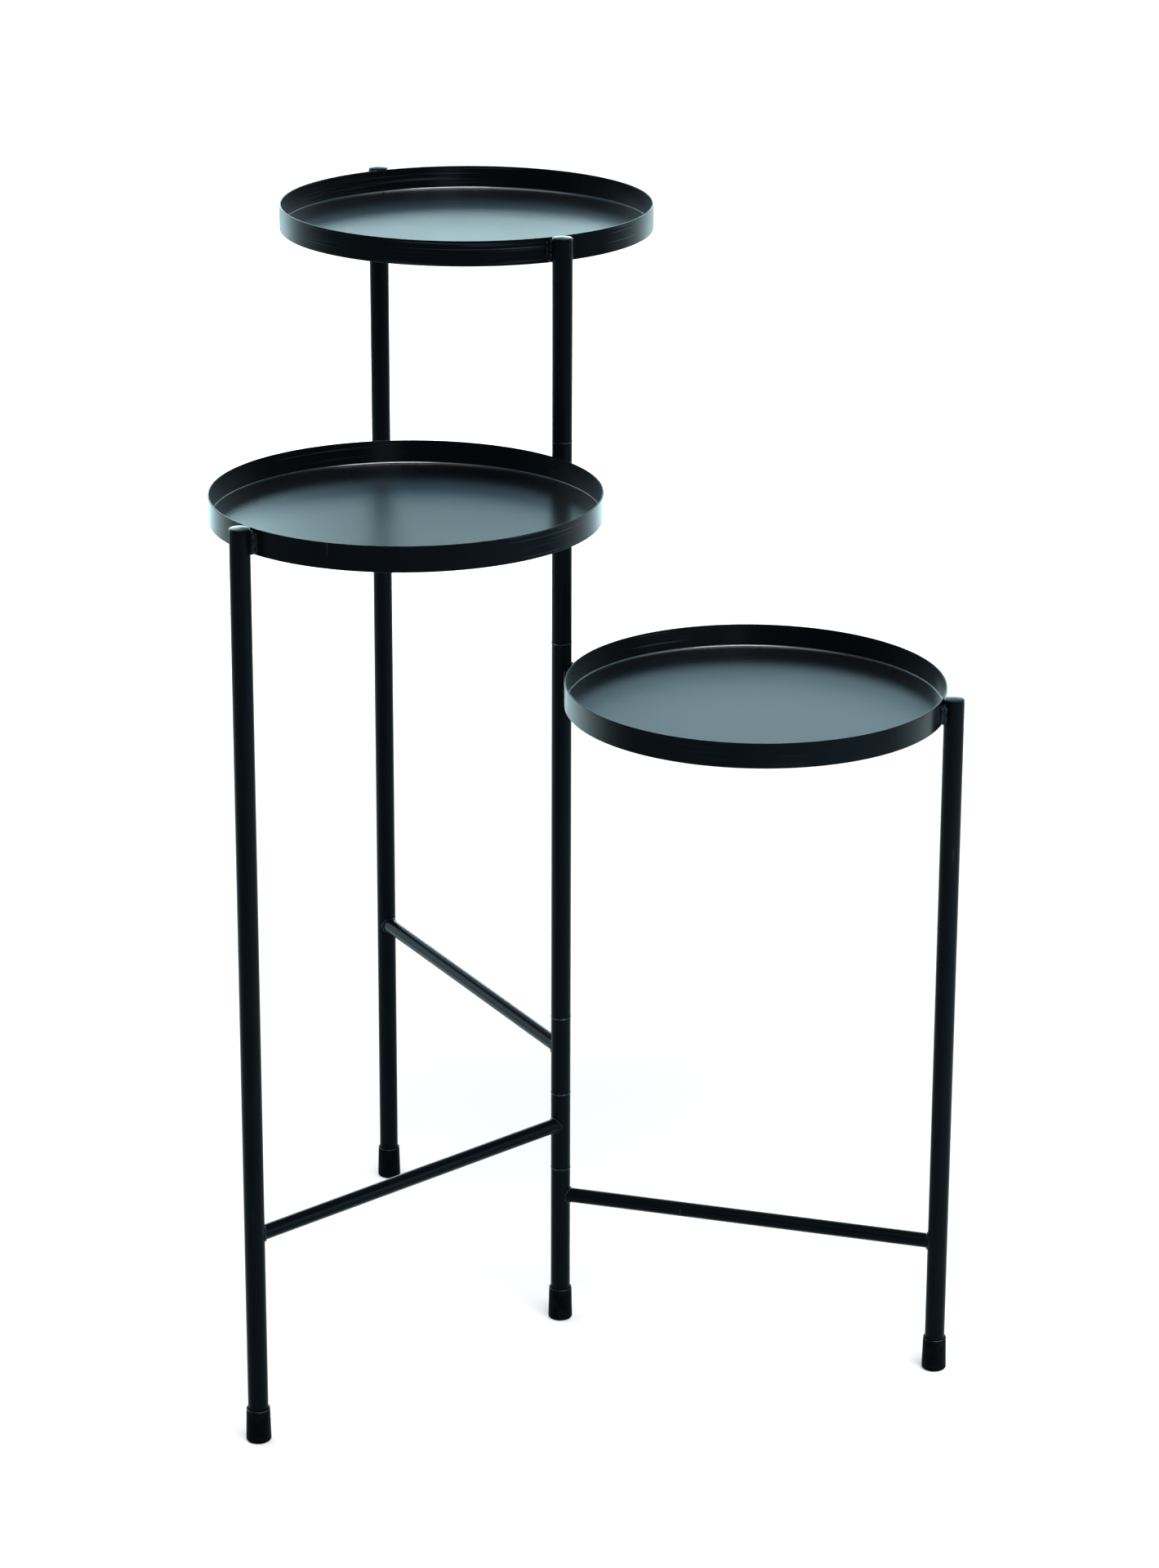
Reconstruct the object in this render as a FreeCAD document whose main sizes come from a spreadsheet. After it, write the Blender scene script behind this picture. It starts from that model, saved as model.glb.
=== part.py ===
import FreeCAD, Part
import os
import Sketcher

# Folding plant stand: three round steel trays at three heights, each on a welded wing that turns about
# one centre post. The post's axis is +Z, its foot stands on the floor at the origin, and the low wing,
# which stays still, points along +X.
DIMENSIONS = (
    ("tube_od", 12.7),  # legs and post sleeves
    ("tube_wall", 1.2),
    ("bar_od", 9.5),  # stretchers
    ("bar_wall", 1.0),
    ("tray_od", 240.0),
    ("rim_height", 16.0),
    ("sheet", 0.9),  # steel of tray base and rim
    ("base_lift", 0.3),  # tray base above the rim's lower edge
    ("weld_gap", 0.4),  # between rim and tube, bridged by the weld
    ("low_rim", 458.0),  # heights of the rims' upper edges
    ("middle_rim", 595.0),
    ("top_rim", 733.0),
    ("low_sleeve_rise", 13.4),  # upper sleeves above their own rims
    ("middle_sleeve_rise", 8.4),
    ("base_sleeve_top", 108.4),  # top of the low wing's lower sleeve
    ("hub_length", 52.3),  # lower sleeves of the middle and top wings
    ("low_bar_drop", 19.0),  # stretcher below the top of its own sleeve
    ("hub_bar_drop", 22.0),
    ("washer_od", 13.1),
    ("washer_thick", 1.0),
    ("run_gap", 0.25),  # along the post, between what turns
    ("run_clearance", 0.05),  # round the pivot tube
    ("pivot_wall", 1.2),
    ("cap_rise", 1.0),  # caps above the rims
    ("cap_head", 1.8),
    ("cap_chamfer", 0.8),
    ("cap_stem", 9.0),
    ("foot_height", 22.0),
    ("foot_floor", 3.0),
    ("foot_wall", 1.6),
    ("foot_chamfer", 1.2),
    ("bead_length", 12.6),  # weld between rim and tube
    ("bead_drop", 1.6),
    ("bead_reach", 6.8),
    ("ring_size", 1.1),  # weld round a stretcher's end
    ("low_angle", 0.0),  # bearings of the wings about the post, in degrees
    ("top_angle", 135.4),
    ("middle_angle", 238.1),
)

doc = FreeCAD.newDocument("PlantStand")
sheet = doc.addObject("Spreadsheet::Sheet", "Dims")
for row, (alias, number) in enumerate(DIMENSIONS, start=1):
    sheet.set("A%d" % row, alias)
    sheet.set("B%d" % row, str(number))
    sheet.setAlias("B%d" % row, alias)
doc.recompute()


class Size:
    """A size: its value, and the expression that gives it from the sheet."""

    def __init__(self, text, value):
        self.text = text
        self.value = value

    def __add__(self, other):
        return Size("(%s + %s)" % (self.text, other.text), self.value + other.value)

    def __sub__(self, other):
        return Size("(%s - %s)" % (self.text, other.text), self.value - other.value)

    def __mul__(self, factor):
        return Size("%s * %s" % (self.text, factor), self.value * factor)

    def __truediv__(self, factor):
        return Size("%s / %s" % (self.text, factor), self.value / factor)


def dim(alias):
    return Size("Dims." + alias, sheet.get(alias))


ZERO = Size("0", 0.0)
tube_radius = dim("tube_od") / 2
bore_radius = tube_radius - dim("tube_wall")
bar_radius = dim("bar_od") / 2
tray_radius = dim("tray_od") / 2
rim_inside = tray_radius - dim("sheet")
leg_reach = dim("tray_od") + dim("tube_od") + dim("weld_gap") * 2
tray_reach = leg_reach / 2
pivot_radius = bore_radius - dim("run_clearance")
seam = dim("washer_thick") + dim("run_gap")

# Spans of the six sleeves along the post, from the floor up.
low_lower = (dim("foot_floor"), dim("base_sleeve_top"))
middle_lower = (low_lower[1] + seam, low_lower[1] + seam + dim("hub_length"))
top_lower = (middle_lower[1] + seam, middle_lower[1] + seam + dim("hub_length"))
low_upper = (top_lower[1] + seam, dim("low_rim") + dim("low_sleeve_rise"))
middle_upper = (low_upper[1] + seam, dim("middle_rim") + dim("middle_sleeve_rise"))
top_upper = (middle_upper[1] + seam, dim("top_rim") + dim("cap_rise") - dim("cap_head"))

WINGS = (
    ("low", low_lower, low_upper, low_lower[1] - dim("low_bar_drop")),
    ("middle", middle_lower, middle_upper, middle_lower[1] - dim("hub_bar_drop")),
    ("top", top_lower, top_upper, top_lower[1] - dim("hub_bar_drop")),
)
# Each washer lies on the sleeve under its seam, counted from the top of the post.
WASHER_SEATS = (middle_upper[1], low_upper[1], top_lower[1], middle_lower[1], low_lower[1])

subparts = []


def place(piece, angle=None, reach=ZERO):
    """Turns a piece to its wing's bearing, at a reach from the post, and lists it as a sub-part."""
    if angle:
        turn = "%s * 1deg" % angle.text
        piece.setExpression("Placement.Rotation.Angle", turn)
        piece.setExpression("Placement.Base.x", "%s * cos(%s)" % (reach.text, turn))
        piece.setExpression("Placement.Base.y", "%s * sin(%s)" % (reach.text, turn))
    subparts.append(piece)


def tie_corner(sketch, edge, corner):
    """Ties the start of a sketch edge to its radius and height: on an axis, or at a distance from it."""
    for kind, size, axis in zip(("DistanceX", "DistanceY"), corner, (-2, -1)):
        if size.value == 0:
            sketch.addConstraint(Sketcher.Constraint("PointOnObject", edge, 1, axis))
        else:
            number = sketch.addConstraint(Sketcher.Constraint(kind, -1, 1, edge, 1, size.value))
            sketch.setExpression("Constraints[%d]" % number, size.text)


def draw_outline(sketch, outline):
    """Draws a closed outline through (radius, height) corners."""
    points = [FreeCAD.Vector(radius.value, height.value, 0) for radius, height in outline]
    for here, there in zip(points, points[1:] + points[:1]):
        sketch.addGeometry(Part.LineSegment(here, there))
    for edge, corner in enumerate(outline):
        sketch.addConstraint(Sketcher.Constraint("Coincident", edge, 2, (edge + 1) % len(outline), 1))
        tie_corner(sketch, edge, corner)


def turned(label, outline):
    """A body turned about its own vertical axis from an outline in the XZ plane."""
    body = doc.addObject("PartDesign::Body", label)
    sketch = body.newObject("Sketcher::SketchObject", label + "_outline")
    plane = next(f for f in body.Origin.OriginFeatures if f.Role == "XZ_Plane")
    sketch.AttachmentSupport = [(plane, "")]
    sketch.MapMode = "FlatFace"
    draw_outline(sketch, outline)
    turn = body.newObject("PartDesign::Revolution", label + "_turn")
    turn.Profile = sketch
    turn.ReferenceAxis = (sketch, ["V_Axis"])
    turn.Angle = 360
    return body


def tube(label, inner, outer, bottom, top):
    return turned(label, [(inner, bottom), (outer, bottom), (outer, top), (inner, top)])


def cap(label, seat):
    """A plug in a tube's upper end, with a flat chamfered head."""
    top = seat + dim("cap_head")
    bottom = seat - dim("cap_stem")
    edge = dim("cap_chamfer")
    return turned(label, [
        (ZERO, bottom), (bore_radius, bottom), (bore_radius, seat), (tube_radius, seat),
        (tube_radius, top - edge), (tube_radius - edge, top), (ZERO, top),
    ])


def foot(label):
    """A rubber cup pushed on a tube's lower end, chamfered at the floor."""
    radius = tube_radius + dim("foot_wall")
    top = dim("foot_height")
    edge = dim("foot_chamfer")
    return turned(label, [
        (ZERO, ZERO), (radius - edge, ZERO), (radius, edge), (radius, top),
        (tube_radius, top), (tube_radius, dim("foot_floor")), (ZERO, dim("foot_floor")),
    ])


def disc(label, radius, bottom, top):
    return turned(label, [(ZERO, bottom), (radius, bottom), (radius, top), (ZERO, top)])


def round_bar(name, radius, length, x=ZERO, z=ZERO, lying=False):
    """A cylinder in the wing's own plane: upright, or lying along +X."""
    bar = doc.addObject("Part::Cylinder", name)
    if lying:
        bar.Placement.Rotation = FreeCAD.Rotation(FreeCAD.Vector(0, 1, 0), 90)
    sizes = {"Radius": radius, "Height": length, "Placement.Base.x": x, "Placement.Base.z": z}
    for field, size in sizes.items():
        bar.setExpression(field, size.text)
    return bar


def fused(name, *pieces):
    fuse = doc.addObject("Part::MultiFuse", name)
    fuse.Shapes = list(pieces)
    return fuse


def cut(name, base, tool):
    rest = doc.addObject("Part::Cut", name)
    rest.Base = base
    rest.Tool = tool
    return rest


def uprights(name, radius, bottom, length):
    """A cylinder round the post and one round the leg."""
    post = round_bar(name + "_post", radius, length, z=bottom)
    leg = round_bar(name + "_leg", radius, length, x=leg_reach, z=bottom)
    return fused(name, post, leg)


def stretcher(label, height):
    """A thin tube from sleeve to leg, saddle-cut to sit on both."""
    outside = round_bar(label + "_outside", bar_radius, leg_reach, z=height, lying=True)
    inside = round_bar(label + "_inside", bar_radius - dim("bar_wall"), leg_reach, z=height, lying=True)
    saddles = uprights(label + "_saddles", tube_radius, height - dim("bar_od"), dim("bar_od") * 2)
    return cut(label, cut(label + "_tube", outside, inside), saddles)


def welds(label, bar_height, rim_top):
    """Rings round the stretcher's two ends, and beads that bridge rim and tubes."""
    ring = dim("ring_size")
    span = dim("bar_od") * 2
    low = bar_height - dim("bar_od")
    core = round_bar(label + "_core", bar_radius, leg_reach, z=bar_height, lying=True)
    collar = round_bar(label + "_collar", bar_radius + ring, leg_reach, z=bar_height, lying=True)
    jackets = cut(
        label + "_jackets",
        uprights(label + "_outer", tube_radius + ring, low, span),
        uprights(label + "_inner", tube_radius, low, span),
    )
    rings = doc.addObject("Part::MultiCommon", label + "_rings")
    rings.Shapes = [cut(label + "_sheath", collar, core), jackets]

    length = dim("bead_length")
    bottom = rim_top - dim("bead_drop") - length
    touch = tube_radius + dim("weld_gap") / 2
    near = round_bar(label + "_near", dim("bead_reach"), length, x=touch, z=bottom)
    far = round_bar(label + "_far", dim("bead_reach"), length, x=leg_reach - touch, z=bottom)
    tray = round_bar(label + "_tray", tray_radius, length, x=tray_reach, z=bottom)
    tubes = uprights(label + "_tubes", tube_radius, bottom, length)
    beads = cut(label + "_beads", fused(label + "_stock", near, far), fused(label + "_clear", tubes, tray))

    group = doc.addObject("Part::Compound", label)
    group.Links = [rings, beads]
    return group


for wing, lower, upper, bar_height in WINGS:
    angle = dim(wing + "_angle")
    rim_top = dim(wing + "_rim")
    leg_top = rim_top + dim("cap_rise") - dim("cap_head")
    rim_bottom = rim_top - dim("rim_height")
    base_bottom = rim_bottom + dim("base_lift")
    place(disc(wing + "_tray_base", rim_inside, base_bottom, base_bottom + dim("sheet")), angle, tray_reach)
    place(tube(wing + "_tray_rim", rim_inside, tray_radius, rim_bottom, rim_top), angle, tray_reach)
    place(tube(wing + "_leg", bore_radius, tube_radius, dim("foot_floor"), leg_top), angle, leg_reach)
    place(cap(wing + "_leg_cap", leg_top), angle, leg_reach)
    place(foot(wing + "_leg_foot"), angle, leg_reach)
    place(stretcher(wing + "_stretcher", bar_height), angle)
    place(tube(wing + "_upper_sleeve", bore_radius, tube_radius, *upper), angle)
    place(tube(wing + "_lower_sleeve", bore_radius, tube_radius, *lower), angle)
    place(welds(wing + "_welds", bar_height, rim_top), angle)

pivot_top = top_upper[1] - dim("cap_stem") - dim("run_gap")
place(tube("pivot_tube", pivot_radius - dim("pivot_wall"), pivot_radius, dim("foot_floor"), pivot_top))
place(cap("post_cap", top_upper[1]), dim("top_angle"))
place(foot("post_foot"))
for number, seat in enumerate(WASHER_SEATS, start=1):
    top = seat + dim("washer_thick")
    place(tube("seam_washer_%d" % number, bore_radius, dim("washer_od") / 2, seat, top))

doc.recompute()
for item in doc.Objects:
    if "Invalid" in item.State or "Error" in item.State:
        raise RuntimeError("%s failed: %s" % (item.Label, item.State))
for piece in subparts:
    if piece.Shape.isNull() or not piece.Shape.isValid():
        raise RuntimeError("%s has no valid shape" % piece.Label)

os.makedirs("parts", exist_ok=True)
for piece in subparts:
    piece.Shape.exportStep("parts/%s.step" % piece.Label)
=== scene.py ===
import math
import random

import bmesh
import bpy
from mathutils import Matrix, Vector


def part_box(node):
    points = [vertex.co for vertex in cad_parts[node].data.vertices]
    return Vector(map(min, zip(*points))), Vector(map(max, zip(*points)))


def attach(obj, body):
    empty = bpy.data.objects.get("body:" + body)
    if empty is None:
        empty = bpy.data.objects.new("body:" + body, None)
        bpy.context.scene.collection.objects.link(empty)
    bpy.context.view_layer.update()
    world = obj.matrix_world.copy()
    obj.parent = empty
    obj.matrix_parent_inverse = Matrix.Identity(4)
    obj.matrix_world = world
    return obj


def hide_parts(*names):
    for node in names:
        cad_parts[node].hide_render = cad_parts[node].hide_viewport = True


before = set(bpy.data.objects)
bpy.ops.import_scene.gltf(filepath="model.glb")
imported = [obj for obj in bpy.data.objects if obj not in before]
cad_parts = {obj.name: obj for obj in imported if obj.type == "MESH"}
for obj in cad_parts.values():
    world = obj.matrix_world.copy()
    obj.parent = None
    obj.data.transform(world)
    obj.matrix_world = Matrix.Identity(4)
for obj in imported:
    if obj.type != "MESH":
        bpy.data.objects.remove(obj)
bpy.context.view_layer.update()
scene = bpy.context.scene
scene.view_settings.view_transform = "Standard"

# Camera
# It stands in front of the low and middle wings, higher than the top tray, and looks down across
# the stand. The lens is shifted a little, as on a camera with a moving front, which keeps the legs
# near upright.
image_height = 1920
focal_pixels = 5064.2
sensor_width = 36
lens_shift = -0.12
camera_bearing = math.radians(16.1)
camera_pitch = math.radians(17.02)
camera_roll = math.radians(0.2)
camera_place = (0.0112, -2.5, 1.2681)

lens = bpy.data.cameras.new("camera")
lens.sensor_width = sensor_width
lens.lens = sensor_width * focal_pixels / image_height
lens.shift_y = lens_shift
camera = bpy.data.objects.new("camera", lens)
camera.matrix_world = (
    Matrix.Rotation(camera_bearing, 4, "Z")
    @ Matrix.Translation(camera_place)
    @ Matrix.Rotation(math.pi / 2 - camera_pitch, 4, "X")
    @ Matrix.Rotation(camera_roll, 4, "Z")
)
scene.collection.objects.link(camera)
scene.camera = camera


# Studio
# A floor that is white to the camera runs out to a pale horizon, brighter behind the stand than on
# the camera's side, under a dim ceiling with a bright zenith. Low lamps light the floor beside and
# behind the stand, and lamps overhead, by the camera and at the back draw highlights on the paint.
class Wire:
    """An output socket of a node tree. Arithmetic on wires adds Math nodes to the same tree."""

    def __init__(self, socket):
        self.socket = socket

    @classmethod
    def node(cls, tree, kind, settings=None, inputs=None, output=0):
        """Adds a node, sets it up, sets or links its sockets, and gives one of its outputs."""
        node = tree.nodes.new(kind)
        for name, value in (settings or {}).items():
            setattr(node, name, value)
        for name, value in (inputs or {}).items():
            if isinstance(value, Wire):
                tree.links.new(value.socket, node.inputs[name])
            else:
                node.inputs[name].default_value = value
        return cls(node.outputs[output]) if node.outputs else None

    def combine(self, operation, first, second):
        tree = self.socket.id_data
        return Wire.node(tree, "ShaderNodeMath", {"operation": operation}, {0: first, 1: second})

    def __add__(self, other):
        return self.combine("ADD", self, other)

    def __sub__(self, other):
        return self.combine("SUBTRACT", self, other)

    def __rsub__(self, other):
        return self.combine("SUBTRACT", other, self)

    def __mul__(self, other):
        return self.combine("MULTIPLY", self, other)

    __radd__ = __add__
    __rmul__ = __mul__


def empty_tree(owner):
    """The node tree of a world or material, with nothing in it."""
    owner.use_nodes = True
    owner.node_tree.nodes.clear()
    return owner.node_tree


def share(tree, value, start, end):
    """Goes smoothly from 0 to 1 while a value goes from start to end."""
    inputs = {"Value": value, "From Min": start, "From Max": end}
    return Wire.node(tree, "ShaderNodeMapRange", {"interpolation_type": "SMOOTHSTEP"}, inputs)


# A Mix node has a set of sockets for each type of data, so those for colours go by number.
mix_factor, mix_first, mix_second, mix_result = 0, 6, 7, 2


def blend(tree, factor, first, second):
    """Mixes two colours."""
    inputs = {mix_factor: factor, mix_first: first, mix_second: second}
    return Wire.node(tree, "ShaderNodeMix", {"data_type": "RGBA"}, inputs, output=mix_result)


def vector_value(tree, operation, *vectors):
    """A number that is worked out from one or two vectors."""
    inputs = dict(enumerate(vectors))
    return Wire.node(
        tree, "ShaderNodeVectorMath", {"operation": operation}, inputs, output="Value",
    )


back_color = (2.15, 2.90, 2.98, 1)
front_color = (0.32, 0.38, 0.42, 1)
ceiling_color = (0.10, 0.19, 0.27, 1)
zenith_color = (1.9, 1.9, 1.9, 1)
front_end, back_start = -0.7, 0.1
horizon_top, ceiling_start = 0.15, 0.25
ceiling_end, zenith_start = 0.75, 0.95

scene.world = bpy.data.worlds.new("studio")
sky = empty_tree(scene.world)
direction = Wire.node(sky, "ShaderNodeTexCoord", output="Generated")
rise = Wire.node(sky, "ShaderNodeSeparateXYZ", inputs={"Vector": direction}, output="Z")
away = (-math.sin(camera_bearing), math.cos(camera_bearing), 0)
depth = vector_value(sky, "DOT_PRODUCT", direction, away)
horizon = blend(sky, share(sky, depth, front_end, back_start), front_color, back_color)
ceiling = blend(sky, share(sky, rise, ceiling_end, zenith_start), ceiling_color, zenith_color)
glow = blend(sky, share(sky, rise, horizon_top, ceiling_start), horizon, ceiling)
Wire.node(sky, "ShaderNodeOutputWorld", inputs={
    "Surface": Wire.node(sky, "ShaderNodeBackground", inputs={"Color": glow}),
})

# The floor keeps the stand's shadow. A lift, which only the camera and reflections see and which
# grows with the distance, makes it white. In reflections it is cooler and dimmer.
floor_reach = 40.0
floor_gap = 0.0002
floor_color, mirrored_floor = (0.73, 0.64, 0.625, 1), (0.56, 0.64, 0.64, 1)
lift_color, mirrored_lift = (1, 1, 1, 1), (0.25, 0.36, 0.40, 1)
near_lift, far_lift = 0.16, 0.58
near_end, far_start = 0.5, 2.2

floor_shape = bmesh.new()
bmesh.ops.create_grid(floor_shape, x_segments=1, y_segments=1, size=floor_reach)
bmesh.ops.translate(floor_shape, verts=floor_shape.verts, vec=(0, 0, -floor_gap))
floor_mesh = bpy.data.meshes.new("floor")
floor_shape.to_mesh(floor_mesh)
floor_shape.free()
floor = bpy.data.objects.new("floor", floor_mesh)
scene.collection.objects.link(floor)

floor_paint = bpy.data.materials.new("floor")
tree = empty_tree(floor_paint)
glossy = Wire.node(tree, "ShaderNodeLightPath", output="Is Glossy Ray")
seen = (
    Wire.node(tree, "ShaderNodeLightPath", output="Is Camera Ray") + glossy
    + Wire.node(tree, "ShaderNodeLightPath", output="Is Transmission Ray")
)
distance = vector_value(tree, "LENGTH", Wire.node(tree, "ShaderNodeTexCoord", output="Object"))
floor_lift = near_lift + (far_lift - near_lift) * share(tree, distance, near_end, far_start)
matte = Wire.node(tree, "ShaderNodeBsdfDiffuse", inputs={
    "Color": blend(tree, glossy, floor_color, mirrored_floor),
})
lift = Wire.node(tree, "ShaderNodeEmission", inputs={
    "Color": blend(tree, glossy, lift_color, mirrored_lift),
    "Strength": seen * floor_lift,
})
Wire.node(tree, "ShaderNodeOutputMaterial", inputs={
    "Surface": Wire.node(tree, "ShaderNodeAddShader", inputs={0: matte, 1: lift}),
})
floor_mesh.materials.append(floor_paint)

cool_color = (0.72, 0.93, 1.0)
strip_color = (0.70, 0.97, 1.0)
key_color = (1, 1, 1)


def soft_lamp(name, place, aim, size, power, color=cool_color):
    """A rectangular lamp, placed and aimed as seen from behind the camera."""
    lamp = bpy.data.lights.new(name, "AREA")
    lamp.shape = "RECTANGLE"
    lamp.size, lamp.size_y = size
    lamp.energy = power
    lamp.color = color
    holder = bpy.data.objects.new(name, lamp)
    turn = Matrix.Rotation(camera_bearing, 4, "Z")
    way = Vector(aim) - Vector(place)
    holder.matrix_world = turn @ Matrix.LocRotScale(place, way.to_track_quat("-Z", "Y"), None)
    holder.visible_camera = False
    scene.collection.objects.link(holder)


soft_lamp("left", place=(-1.0, 0.35, 0.5), aim=(-0.95, 0.35, 0), size=(0.9, 0.9), power=10)
soft_lamp("right", place=(1.05, -0.6, 0.5), aim=(1.0, -0.55, 0), size=(1.1, 1.1), power=24)
soft_lamp("behind", place=(-0.2, 2.3, 0.5), aim=(-0.2, 2.3, 0), size=(4.4, 1.2), power=55)
soft_lamp("front", place=(0.6, -2.7, 1.3), aim=(0, 0, 0.6), size=(0.6, 0.6), power=6)
soft_lamp(
    "key", place=(0.5, -2.0, 2.7), aim=(0, 0, 0.5), size=(2.4, 0.8), power=68, color=key_color,
)
soft_lamp(
    "back_left", place=(-0.75, 2.4, 1.2), aim=(-0.2, 0, 0.6), size=(0.7, 1.0), power=4.5,
    color=strip_color,
)
soft_lamp(
    "back_right", place=(0.4, 2.4, 1.2), aim=(0.1, 0, 0.5), size=(0.8, 1.0), power=1.2,
    color=strip_color,
)

# Legs
# Three legs of thin steel tube, one to each wing, cut to the height of their trays and coated in
# satin black. They stand in rubber feet and are closed by caps at the top.
tube_steps = 64
merge_distance = 1e-7
vanished_edge = 1e-6
corner_angle = math.radians(35)
bevel_segments = 3


def turned(outline, centre, rounding, steps=tube_steps):
    """Spins a (radius, height) outline about an upright axis and rounds its corners.
    An outline that starts and ends on the axis makes a solid, and any other one a ring."""
    shape = bmesh.new()
    points = [shape.verts.new((radius, 0, height)) for radius, height in outline]
    following = points[1:] if outline[0][0] == 0 else points[1:] + points[:1]
    edges = [shape.edges.new(pair) for pair in zip(points, following)]
    bmesh.ops.spin(
        shape, geom=points + edges, cent=(0, 0, 0), axis=(0, 0, 1),
        angle=2 * math.pi, steps=steps, use_merge=True,
    )
    bmesh.ops.remove_doubles(shape, verts=shape.verts, dist=merge_distance)
    bmesh.ops.recalc_face_normals(shape, faces=shape.faces)
    corners = [edge for edge in shape.edges if edge.calc_face_angle() > corner_angle]
    bmesh.ops.bevel(
        shape, geom=corners, offset=rounding, offset_type="OFFSET", affect="EDGES",
        segments=bevel_segments, profile=0.5, material=-1, clamp_overlap=True,
    )
    bmesh.ops.dissolve_degenerate(shape, dist=vanished_edge, edges=shape.edges)
    bmesh.ops.translate(shape, verts=shape.verts, vec=centre)
    return shape


def ring(inner, outer, bottom, top):
    """The outline of a ring with upright walls."""
    return (inner, bottom), (outer, bottom), (outer, top), (inner, top)


def span(node):
    """Centre on the floor, radius, bottom and top of an upright round CAD node."""
    low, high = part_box(node)
    centre = Vector(((low.x + high.x) / 2, (low.y + high.y) / 2, 0))
    return centre, (high.x - low.x) / 2, low.z, high.z


melt_smoothing = 0.5
melt_passes = 8


def piece(name, shape, material, body, stands_for, melt=0.0):
    """Makes an object of a finished shape, which moves with a body and stands for a CAD node.
    Parts of it that are closer than the size of the melt run together."""
    mesh = bpy.data.meshes.new(name)
    for face in shape.faces:
        face.smooth = True
    shape.to_mesh(mesh)
    shape.free()
    mesh.materials.append(material)
    made = bpy.data.objects.new(name, mesh)
    if melt:
        flow = made.modifiers.new("flow", "REMESH")
        flow.mode = "VOXEL"
        flow.voxel_size = melt
        flow.use_smooth_shade = True
        settle = made.modifiers.new("settle", "SMOOTH")
        settle.factor = melt_smoothing
        settle.iterations = melt_passes
    else:
        made.modifiers.new("even_shading", "WEIGHTED_NORMAL")
    scene.collection.objects.link(made)
    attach(made, body)
    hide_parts(stands_for)


def noise(tree, scale, detail, stretch=(1, 1, 1)):
    """Noise in the object's own space, with a mean of about 0.5."""
    place = Wire.node(tree, "ShaderNodeTexCoord", output="Object")
    vector = Wire.node(tree, "ShaderNodeMapping", inputs={"Vector": place, "Scale": stretch})
    inputs = {"Vector": vector, "Scale": scale, "Detail": detail}
    return Wire.node(tree, "ShaderNodeTexNoise", inputs=inputs)


def relief(tree, height, strength, depth):
    """Bumps of a depth in metres."""
    inputs = {"Height": height, "Strength": strength, "Distance": depth}
    return Wire.node(tree, "ShaderNodeBump", inputs=inputs)


def marked(tree, mark):
    """The mark that a mesh carries in its vertices, or 0 where it has none."""
    return Wire.node(tree, "ShaderNodeAttribute", {"attribute_name": mark}, output="Fac")


def surface(name, fill):
    """A material whose shader's sockets are given by a function of its node tree."""
    material = bpy.data.materials.new(name)
    tree = empty_tree(material)
    shader = Wire.node(tree, "ShaderNodeBsdfPrincipled", inputs=fill(tree))
    Wire.node(tree, "ShaderNodeOutputMaterial", inputs={"Surface": shader})
    return material


thin_coat, thick_coat = (0.0024, 0.0031, 0.0038, 1), (0.0010, 0.0014, 0.0018, 1)
scuff_color = (0.022, 0.024, 0.026, 1)
# Patches of rolled streaks get a lighter blue, partly a thin coat and partly a painted sheen.
streak_wear_and_sheen_color = (0.030, 0.041, 0.054, 1)
cool_tint = (0.55, 0.76, 1.0, 1)
cloud_gloss, grain_gloss = 0.10, 0.08
peel_strength, peel_depth = 0.25, 0.00003


def satin_paint(name, roughness, glaze, streaks=0.0, ior=1.11, glaze_ior=1.6):
    """Satin black powder coat with cloudy gloss, fine grain, slight orange peel and faint scuffs.
    The glaze shows at a slant, and from all sides where the paint is marked as gathered."""
    def fill(tree):
        cloud = noise(tree, scale=28, detail=3)
        grain = noise(tree, scale=1500, detail=1)
        height = noise(tree, scale=420, detail=2)
        scratch = noise(tree, scale=300, detail=2, stretch=(1, 1, 0.06))
        scuff = share(tree, scratch, start=0.70, end=0.78) * share(tree, cloud, start=0.5, end=0.7)
        color = blend(tree, scuff, blend(tree, cloud, thick_coat, thin_coat), scuff_color)
        if streaks:
            rolled = noise(tree, scale=1, detail=3, stretch=(9, 9, 1100))
            patch = share(tree, noise(tree, scale=11, detail=1), start=0.5, end=0.66)
            # Patches of the rolled streaks are painted a lighter blue: partly a thin coat, partly a
            # painted sheen.
            thin_coat_and_sheen = share(tree, rolled, start=0.54, end=0.74) * patch
            color = blend(tree, thin_coat_and_sheen, color, streak_wear_and_sheen_color)
            height = height + streaks * rolled
        slant = Wire.node(tree, "ShaderNodeLayerWeight", inputs={"Blend": 0.5}, output="Facing")
        slant_glaze = share(tree, slant, start=0.3, end=0.85) * glaze
        return {
            "Base Color": color,
            "Roughness": roughness + cloud_gloss * (cloud - 0.5) + grain_gloss * (grain - 0.5),
            "IOR": ior,
            "Specular Tint": cool_tint,
            "Normal": relief(tree, height, peel_strength, peel_depth),
            "Coat Weight": slant_glaze + marked(tree, "gathered"),
            "Coat Roughness": roughness,
            "Coat IOR": glaze_ior,
        }

    return surface(name, fill)


wings = ("low", "middle", "top")
tube_wall = 0.0012
tube_radius = span("top_leg")[1]
bore = tube_radius - tube_wall
tube_rounding = 0.00035
tube_paint = satin_paint("tube_paint", roughness=0.34, glaze=0.15)

for wing in wings:
    centre, radius, bottom, top = span(wing + "_leg")
    leg = turned(ring(radius - tube_wall, radius, bottom, top), centre, tube_rounding)
    piece(wing + "_leg_tube", leg, tube_paint, wing + "_wing", wing + "_leg")

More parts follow.
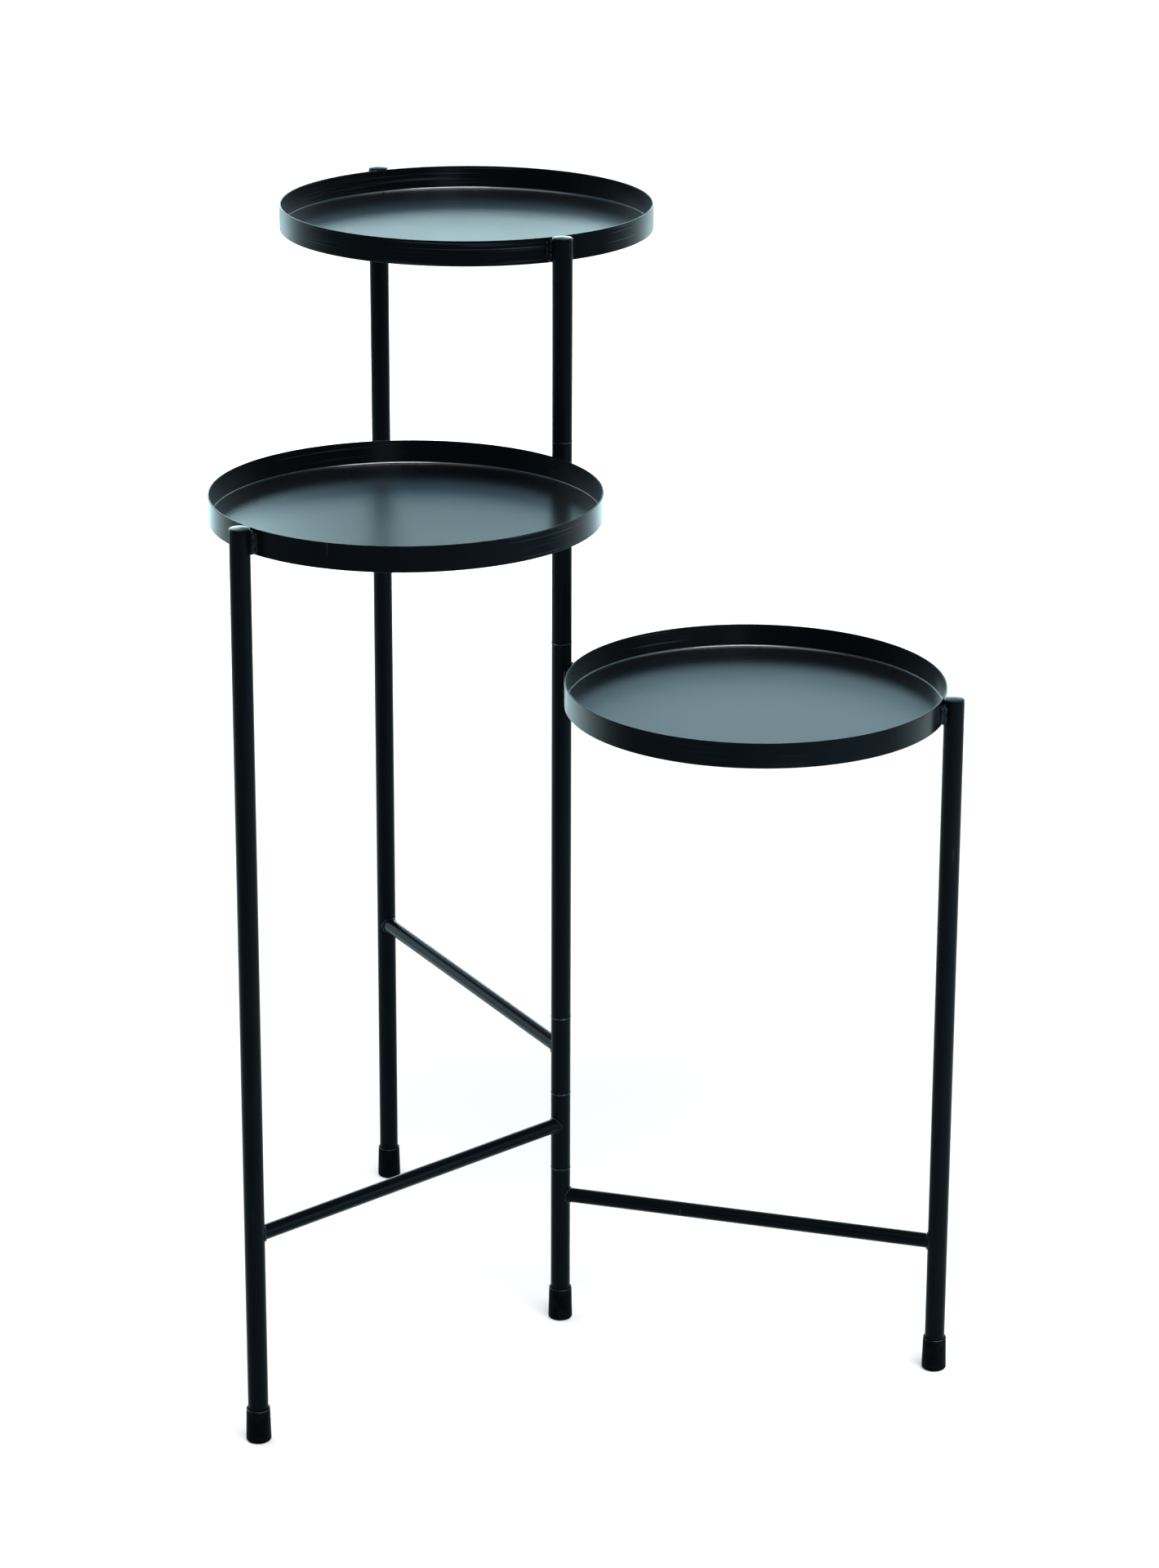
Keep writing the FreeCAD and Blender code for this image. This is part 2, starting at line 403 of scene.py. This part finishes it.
# Feet
# Moulded cups of black rubber, pushed on the lower ends of the legs and of the post. They widen a
# little towards the floor, where their edge is rounded, and their lip stands off the tube.
clean_rubber, dusty_rubber = (0.0012, 0.0014, 0.0018, 1), (0.0034, 0.0037, 0.0042, 1)
rubber_roughness, dust_roughness = 0.30, 0.16
mould_strength, mould_depth = 0.3, 0.00004


def rubber(tree):
    """Dull black rubber with a fine mould grain and dusty patches, shiny where it is worn."""
    grain = noise(tree, scale=1800, detail=2)
    dust = noise(tree, scale=160, detail=4)
    patch = share(tree, dust, start=0.45, end=0.8)
    return {
        "Base Color": blend(tree, patch, clean_rubber, dusty_rubber),
        "Roughness": rubber_roughness + dust_roughness * dust,
        "IOR": 1.07,
        "Specular Tint": cool_tint,
        "Normal": relief(tree, grain, mould_strength, mould_depth),
        "Coat Weight": marked(tree, "worn"),
        "Coat Roughness": 0.2,
    }


def put_mark(shape, mark, value):
    """Marks the vertices of a shape with a value that is a function of their place."""
    layer = shape.verts.layers.float.new(mark)
    for vert in shape.verts:
        vert[layer] = value(vert.co)


foot_taper = 0.0005
foot_floor = 0.003
foot_edge = 0.0012
edge_bulge = 0.3 * foot_edge
lip_gap = 0.0004
lip_depth = 0.0022
foot_rounding = 0.00034
worn_height = 0.7 * foot_rounding
foot_rubber = surface("foot_rubber", rubber)

for node, wing in [(name + "_leg_foot", name) for name in wings] + [("post_foot", "low")]:
    centre, radius, bottom, top = span(node)
    outline = (
        (0, bottom), (radius - foot_edge, bottom), (radius - edge_bulge, bottom + edge_bulge),
        (radius, bottom + foot_edge), (radius - foot_taper, top), (tube_radius + lip_gap, top),
        (tube_radius, top - lip_depth), (tube_radius, foot_floor), (0, foot_floor),
    )
    cup = turned(outline, centre, foot_rounding)
    put_mark(cup, "worn", lambda place: float(top - worn_height < place.z))
    piece(node + "_cup", cup, foot_rubber, wing + "_wing", node)

# Caps
# A domed plug closes the top of each leg and of the post. It is set flush with the tube, whose
# outside it carries on, and is painted over with it.
cap_dome = 0.0006
cap_rounding = 0.0008
cap_paint = satin_paint("cap_paint", roughness=0.2, glaze=1.0)

for node, wing in [(name + "_leg_cap", name) for name in wings] + [("post_cap", "top")]:
    centre, radius, bottom, top = span(node)
    tube_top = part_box("top_upper_sleeve" if node == "post_cap" else wing + "_leg")[1].z
    outline = (
        (0, bottom), (bore, bottom), (bore, tube_top),
        (radius, tube_top), (radius, top - cap_dome), (0, top),
    )
    cap = turned(outline, centre, cap_rounding)
    piece(node + "_dome", cap, cap_paint, wing + "_wing", node)

# Post sleeves
# Six lengths of the same tube, two to each wing, stacked in turn on a pivot tube so that they make
# one straight post. Their cut ends are eased before they are coated.
for wing in wings:
    for sleeve in (wing + "_lower_sleeve", wing + "_upper_sleeve"):
        centre, radius, bottom, top = span(sleeve)
        made = turned(ring(bore, radius, bottom, top), centre, tube_rounding)
        piece(sleeve + "_tube", made, tube_paint, wing + "_wing", sleeve)

# Pivot tube and washers
# A plated steel tube stands in the post's foot and runs up inside all six sleeves. Washers with a
# black plating lie between the sleeves, stand a little proud of them and show as five thin rings.
plate_color, bare_color = (0.020, 0.024, 0.028, 1), (0.13, 0.14, 0.15, 1)
plate_roughness, spot_roughness = 0.18, 0.2
turning_strength, turning_depth = 0.2, 0.00002


def dark_plate(tree):
    """Black-plated steel with turning marks and worn bright spots."""
    marks = noise(tree, scale=1, detail=2, stretch=(20, 20, 4000))
    spots = noise(tree, scale=340, detail=3)
    bare = share(tree, spots, start=0.5, end=0.75)
    return {
        "Base Color": blend(tree, bare, plate_color, bare_color),
        "Metallic": 1.0,
        "Roughness": plate_roughness + spot_roughness * spots,
        "Normal": relief(tree, marks, turning_strength, turning_depth),
    }


pivot_wall = 0.0012
washer_rounding = 0.00025
washer_wings = ("middle", "low", "top", "middle", "low")
plate = surface("dark_plate", dark_plate)

centre, radius, bottom, top = span("pivot_tube")
pivot = turned(ring(radius - pivot_wall, radius, bottom, top), centre, tube_rounding)
piece("pivot", pivot, plate, "low_wing", "pivot_tube")
for number, wing in enumerate(washer_wings, start=1):
    node = "seam_washer_%d" % number
    centre, radius, bottom, top = span(node)
    washer = turned(ring(bore, radius, bottom, top), centre, washer_rounding)
    piece(node + "_ring", washer, plate, wing + "_wing", node)


# Stretchers
# One thin tube to each wing, low down between its sleeve and its leg. Its ends are cut to the round
# of the tubes that they meet, and it is coated with them.
def wing_place(wing):
    """The turn from +X to a wing's bearing, and the reach from the post to the wing's leg."""
    leg = span(wing + "_leg")[0]
    return Matrix.Rotation(math.atan2(leg.y, leg.x), 4, "Z"), leg.length


def bar_place(wing):
    """The height of a stretcher's axis, and its radius."""
    low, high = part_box(wing + "_stretcher")
    return (low.z + high.z) / 2, (high.z - low.z) / 2


def saddle(y):
    """How far the round of an upright tube stands out at a distance y to one side of its axis."""
    return math.sqrt(tube_radius ** 2 - y ** 2)


bar_steps = 48
stretcher_paint = satin_paint("stretcher_paint", roughness=0.26, glaze=0.5)

for wing in wings:
    turn, reach = wing_place(wing)
    height, bar_radius = bar_place(wing)
    bar = bmesh.new()
    lying = Matrix.Translation((reach / 2, 0, height)) @ Matrix.Rotation(math.pi / 2, 4, "Y")
    bmesh.ops.create_cone(
        bar, cap_ends=True, cap_tris=True, segments=bar_steps,
        radius1=bar_radius, radius2=bar_radius, depth=reach, matrix=lying,
    )
    for vert in bar.verts:
        stand = saddle(vert.co.y)
        vert.co.x = stand if vert.co.x < reach / 2 else reach - stand
    bmesh.ops.transform(bar, matrix=turn, verts=bar.verts)
    node = wing + "_stretcher"
    piece(node + "_tube", bar, stretcher_paint, wing + "_wing", node)

# Trays
# Each tray is a flat disc of sheet steel, its edge turned up a little, set in a rolled band and
# welded round. Disc and band are coated in the same satin black, which gathers in the corner.
sheet = 0.0009
tray_steps = 192
corner_round = 0.0009
corner_steps = 6
corner_foot = 0.1 * corner_round
base_rounding = 0.0002
rim_rounding = 0.00028
wall_depth = 0.9 * sheet
wall_glaze = 0.07
base_paint = satin_paint("base_paint", roughness=0.24, glaze=0.8, ior=1.5, glaze_ior=2.2)
# The band's rolled streaks are bumped, and patches of them carry a lighter blue that is partly a
# painted sheen.
rim_paint = satin_paint("rim_paint", roughness=0.24, glaze=1.0, streaks=0.8)

for wing in wings:
    node = wing + "_tray_base"
    centre, radius, bottom, top = span(node)
    outline = [(0, bottom), (radius, bottom)]
    for step in range(corner_steps + 1):
        angle = math.pi / 2 * step / corner_steps
        inward, upward = 1 - math.cos(angle), 1 - math.sin(angle)
        outline.append((radius - corner_round * inward, top + corner_round * upward))
    outline.append((0, top))
    base = turned(outline, centre, base_rounding, tray_steps)
    put_mark(base, "gathered", lambda place: float(top + corner_foot < place.z))
    piece(wing + "_tray_disc", base, base_paint, wing + "_wing", node)

    node = wing + "_tray_rim"
    centre, radius, bottom, top = span(node)
    rim = turned(ring(radius - sheet, radius, bottom, top), centre, rim_rounding, tray_steps)
    put_mark(
        rim, "gathered",
        lambda place: wall_glaze * float((place - centre).xy.length < radius - wall_depth),
    )
    piece(wing + "_tray_band", rim, rim_paint, wing + "_wing", node)

# Welds
# Short lumpy beads fill the grooves where a tray's rim meets its sleeve and its leg, with drops
# burnt through to the inside of the rim, and a ring of bead goes round each end of a stretcher.
# All are coated over.
chance = random.Random(11)
drop_sizes = (0.82, 1.08)
side_shift, rise_shift = 0.2, 0.3
drop_detail = 3


def lay_drop(shape, place, size):
    """Adds one drop of weld of about the given size, a little out of line."""
    drop = size * chance.uniform(*drop_sizes)
    aside = chance.uniform(-side_shift, side_shift) * size
    up = chance.uniform(-rise_shift, rise_shift) * size
    matrix = Matrix.Translation(Vector(place) + Vector((0, aside, up)))
    bmesh.ops.create_icosphere(shape, subdivisions=drop_detail, radius=drop, matrix=matrix)


bead_start = 0.0030
bead_length = 0.0105
fill_drops, fill_size, fill_place = 9, 0.0023, (0.0050, 0.0052)
toe_drops, toe_size, toe_place = 10, 0.0012, (0.0066, 0.0075)
bead_layers = ((fill_drops, fill_size, fill_place), (toe_drops, toe_size, toe_place))
burn_size = 0.0010
burn_sink = 0.3 * burn_size
burn_drops = (0.0022, 0.0055, 0.0094, 0.0134)
ring_drops = 20
ring_size = 0.0012
rim_inside = span("top_tray_rim")[1] - sheet
weld_melt = 0.00032
weld_depth = tube_radius - 0.5 * tube_wall
weld_paint = satin_paint("weld_paint", roughness=0.15, glaze=0.6, ior=1.2)

for wing in wings:
    turn, reach = wing_place(wing)
    height, bar_radius = bar_place(wing)
    rim_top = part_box(wing + "_tray_rim")[1].z
    inner_wall = reach / 2 - rim_inside
    beads = bmesh.new()
    for start, way in ((0, 1), (reach, -1)):
        for side in (1, -1):
            for drops, size, (x, y) in bead_layers:
                for step in range(drops):
                    z = rim_top - bead_start - bead_length * step / (drops - 1)
                    lay_drop(beads, (start + way * x, side * y, z), size)
        for drop in burn_drops:
            x = inner_wall - burn_sink
            lay_drop(beads, (start + way * x, 0, rim_top - drop), burn_size)
        for step in range(ring_drops):
            angle = 2 * math.pi * step / ring_drops
            y, z = bar_radius * math.cos(angle), bar_radius * math.sin(angle)
            lay_drop(beads, (start + way * saddle(y), y, height + z), ring_size)
    # No drop reaches through the wall of the sleeve or the leg.
    for vert in beads.verts:
        for axis in (Vector((0, 0, vert.co.z)), Vector((reach, 0, vert.co.z))):
            out = vert.co - axis
            if out.length < weld_depth:
                vert.co = axis + weld_depth * out.normalized()
    bmesh.ops.transform(beads, matrix=turn, verts=beads.verts)
    node = wing + "_welds"
    piece(
        wing + "_weld_beads", beads, weld_paint, wing + "_wing", node,
        melt=weld_melt,
    )
